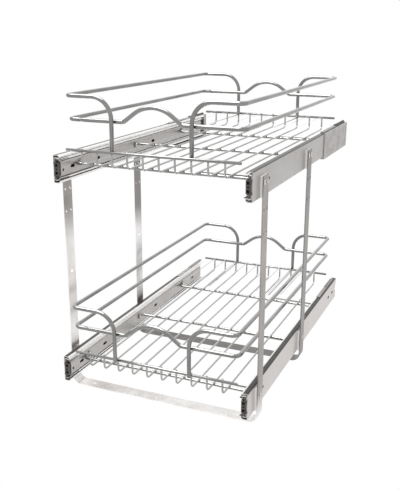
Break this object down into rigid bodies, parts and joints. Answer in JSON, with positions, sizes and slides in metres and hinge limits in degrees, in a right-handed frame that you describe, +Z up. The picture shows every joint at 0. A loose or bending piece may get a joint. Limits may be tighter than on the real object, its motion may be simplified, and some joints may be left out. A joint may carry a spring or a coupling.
{
  "type": "pull out cabinet basket",
  "caption": "Two-tier pull-out organiser for a kitchen cabinet: chrome wire baskets on full-extension ball slides, held by steel straps screwed to the cabinet floor.",
  "frame": {"origin": "on the cabinet floor under the straps, on the middle plane, halfway between the foremost and the rearmost point", "axes": "+X to the right seen from the front, +Y to the back of the cabinet, +Z up; the baskets pull out towards -Y"},
  "size_m": [0.33, 0.563, 0.484],
  "materials": {
    "chrome_wire": "bright chrome-plated wire",
    "strap_steel": "satin zinc-plated strip",
    "spacer_steel": "bright zinc plate",
    "slide_steel": "satin zinc-plated sheet",
    "inner_slide_steel": "satin zinc-plated sheet",
    "ball_steel": "polished balls in bright strip",
    "screw_steel": "bright plated screws",
    "housing_plastic": "moulded grey plastic",
    "black_plastic": "moulded black plastic"
  },
  "bodies": {
    "frame": {"front_strap": "strap_steel", "rear_strap": "strap_steel", "slide_spacers": "spacer_steel", "slide_mounting_screws": "screw_steel", "upper_left_outer_channel": "slide_steel", "upper_right_outer_channel": "slide_steel", "lower_left_outer_channel": "slide_steel", "lower_right_outer_channel": "slide_steel", "upper_left_soft_close_housing": "housing_plastic", "upper_left_soft_close_damper": "black_plastic", "lower_left_rear_guide": "black_plastic", "upper_right_soft_close_housing": "housing_plastic", "upper_right_soft_close_damper": "black_plastic", "lower_right_rear_guide": "black_plastic"},
    "upper_basket": {"upper_floor_wires": "chrome_wire", "upper_front_rim": "chrome_wire", "upper_rear_rim": "chrome_wire", "upper_left_guard_rail": "chrome_wire", "upper_right_guard_rail": "chrome_wire", "upper_middle_guard_rail": "chrome_wire", "upper_front_cross_wire": "chrome_wire", "upper_centre_cross_wire": "chrome_wire", "upper_rear_cross_wire": "chrome_wire", "upper_left_inner_member": "inner_slide_steel", "upper_right_inner_member": "inner_slide_steel", "upper_basket_screws": "screw_steel"},
    "upper_left_middle": {"upper_left_middle_member": "slide_steel", "upper_left_front_bumper": "black_plastic"},
    "upper_left_outer_balls": {"upper_left_outer_ball_cage": "ball_steel"},
    "upper_left_inner_balls": {"upper_left_inner_ball_cage": "ball_steel"},
    "upper_right_middle": {"upper_right_middle_member": "slide_steel", "upper_right_front_bumper": "black_plastic"},
    "upper_right_outer_balls": {"upper_right_outer_ball_cage": "ball_steel"},
    "upper_right_inner_balls": {"upper_right_inner_ball_cage": "ball_steel"},
    "lower_basket": {"lower_floor_wires": "chrome_wire", "lower_front_rim": "chrome_wire", "lower_rear_rim": "chrome_wire", "lower_left_guard_rail": "chrome_wire", "lower_right_guard_rail": "chrome_wire", "lower_middle_guard_rail": "chrome_wire", "lower_front_cross_wire": "chrome_wire", "lower_centre_cross_wire": "chrome_wire", "lower_rear_cross_wire": "chrome_wire", "lower_left_inner_member": "inner_slide_steel", "lower_right_inner_member": "inner_slide_steel", "lower_basket_screws": "screw_steel"},
    "lower_left_middle": {"lower_left_middle_member": "slide_steel", "lower_left_front_bumper": "black_plastic"},
    "lower_left_outer_balls": {"lower_left_outer_ball_cage": "ball_steel"},
    "lower_left_inner_balls": {"lower_left_inner_ball_cage": "ball_steel"},
    "lower_right_middle": {"lower_right_middle_member": "slide_steel", "lower_right_front_bumper": "black_plastic"},
    "lower_right_outer_balls": {"lower_right_outer_ball_cage": "ball_steel"},
    "lower_right_inner_balls": {"lower_right_inner_ball_cage": "ball_steel"}
  },
  "joints": [
    {"name": "upper_basket_slide", "type": "slide", "parent": "frame", "child": "upper_basket", "axis": [0, -1, 0], "range_m": [0, 0.53]},
    {"name": "upper_left_middle_slide", "type": "slide", "parent": "frame", "child": "upper_left_middle", "axis": [0, -1, 0], "range_m": [0, 0.265]},
    {"name": "upper_left_outer_balls_slide", "type": "slide", "parent": "frame", "child": "upper_left_outer_balls", "axis": [0, -1, 0], "range_m": [0, 0.1325]},
    {"name": "upper_left_inner_balls_slide", "type": "slide", "parent": "frame", "child": "upper_left_inner_balls", "axis": [0, -1, 0], "range_m": [0, 0.3975]},
    {"name": "upper_right_middle_slide", "type": "slide", "parent": "frame", "child": "upper_right_middle", "axis": [0, -1, 0], "range_m": [0, 0.265]},
    {"name": "upper_right_outer_balls_slide", "type": "slide", "parent": "frame", "child": "upper_right_outer_balls", "axis": [0, -1, 0], "range_m": [0, 0.1325]},
    {"name": "upper_right_inner_balls_slide", "type": "slide", "parent": "frame", "child": "upper_right_inner_balls", "axis": [0, -1, 0], "range_m": [0, 0.3975]},
    {"name": "lower_basket_slide", "type": "slide", "parent": "frame", "child": "lower_basket", "axis": [0, -1, 0], "range_m": [0, 0.53]},
    {"name": "lower_left_middle_slide", "type": "slide", "parent": "frame", "child": "lower_left_middle", "axis": [0, -1, 0], "range_m": [0, 0.265]},
    {"name": "lower_left_outer_balls_slide", "type": "slide", "parent": "frame", "child": "lower_left_outer_balls", "axis": [0, -1, 0], "range_m": [0, 0.1325]},
    {"name": "lower_left_inner_balls_slide", "type": "slide", "parent": "frame", "child": "lower_left_inner_balls", "axis": [0, -1, 0], "range_m": [0, 0.3975]},
    {"name": "lower_right_middle_slide", "type": "slide", "parent": "frame", "child": "lower_right_middle", "axis": [0, -1, 0], "range_m": [0, 0.265]},
    {"name": "lower_right_outer_balls_slide", "type": "slide", "parent": "frame", "child": "lower_right_outer_balls", "axis": [0, -1, 0], "range_m": [0, 0.1325]},
    {"name": "lower_right_inner_balls_slide", "type": "slide", "parent": "frame", "child": "lower_right_inner_balls", "axis": [0, -1, 0], "range_m": [0, 0.3975]}
  ],
  "couplings": [
    {"joint": "upper_left_middle_slide", "follows": "upper_basket_slide", "ratio": 0.5},
    {"joint": "upper_left_outer_balls_slide", "follows": "upper_basket_slide", "ratio": 0.25},
    {"joint": "upper_left_inner_balls_slide", "follows": "upper_basket_slide", "ratio": 0.75},
    {"joint": "upper_right_middle_slide", "follows": "upper_basket_slide", "ratio": 0.5},
    {"joint": "upper_right_outer_balls_slide", "follows": "upper_basket_slide", "ratio": 0.25},
    {"joint": "upper_right_inner_balls_slide", "follows": "upper_basket_slide", "ratio": 0.75},
    {"joint": "lower_left_middle_slide", "follows": "lower_basket_slide", "ratio": 0.5},
    {"joint": "lower_left_outer_balls_slide", "follows": "lower_basket_slide", "ratio": 0.25},
    {"joint": "lower_left_inner_balls_slide", "follows": "lower_basket_slide", "ratio": 0.75},
    {"joint": "lower_right_middle_slide", "follows": "lower_basket_slide", "ratio": 0.5},
    {"joint": "lower_right_outer_balls_slide", "follows": "lower_basket_slide", "ratio": 0.25},
    {"joint": "lower_right_inner_balls_slide", "follows": "lower_basket_slide", "ratio": 0.75}
  ]
}
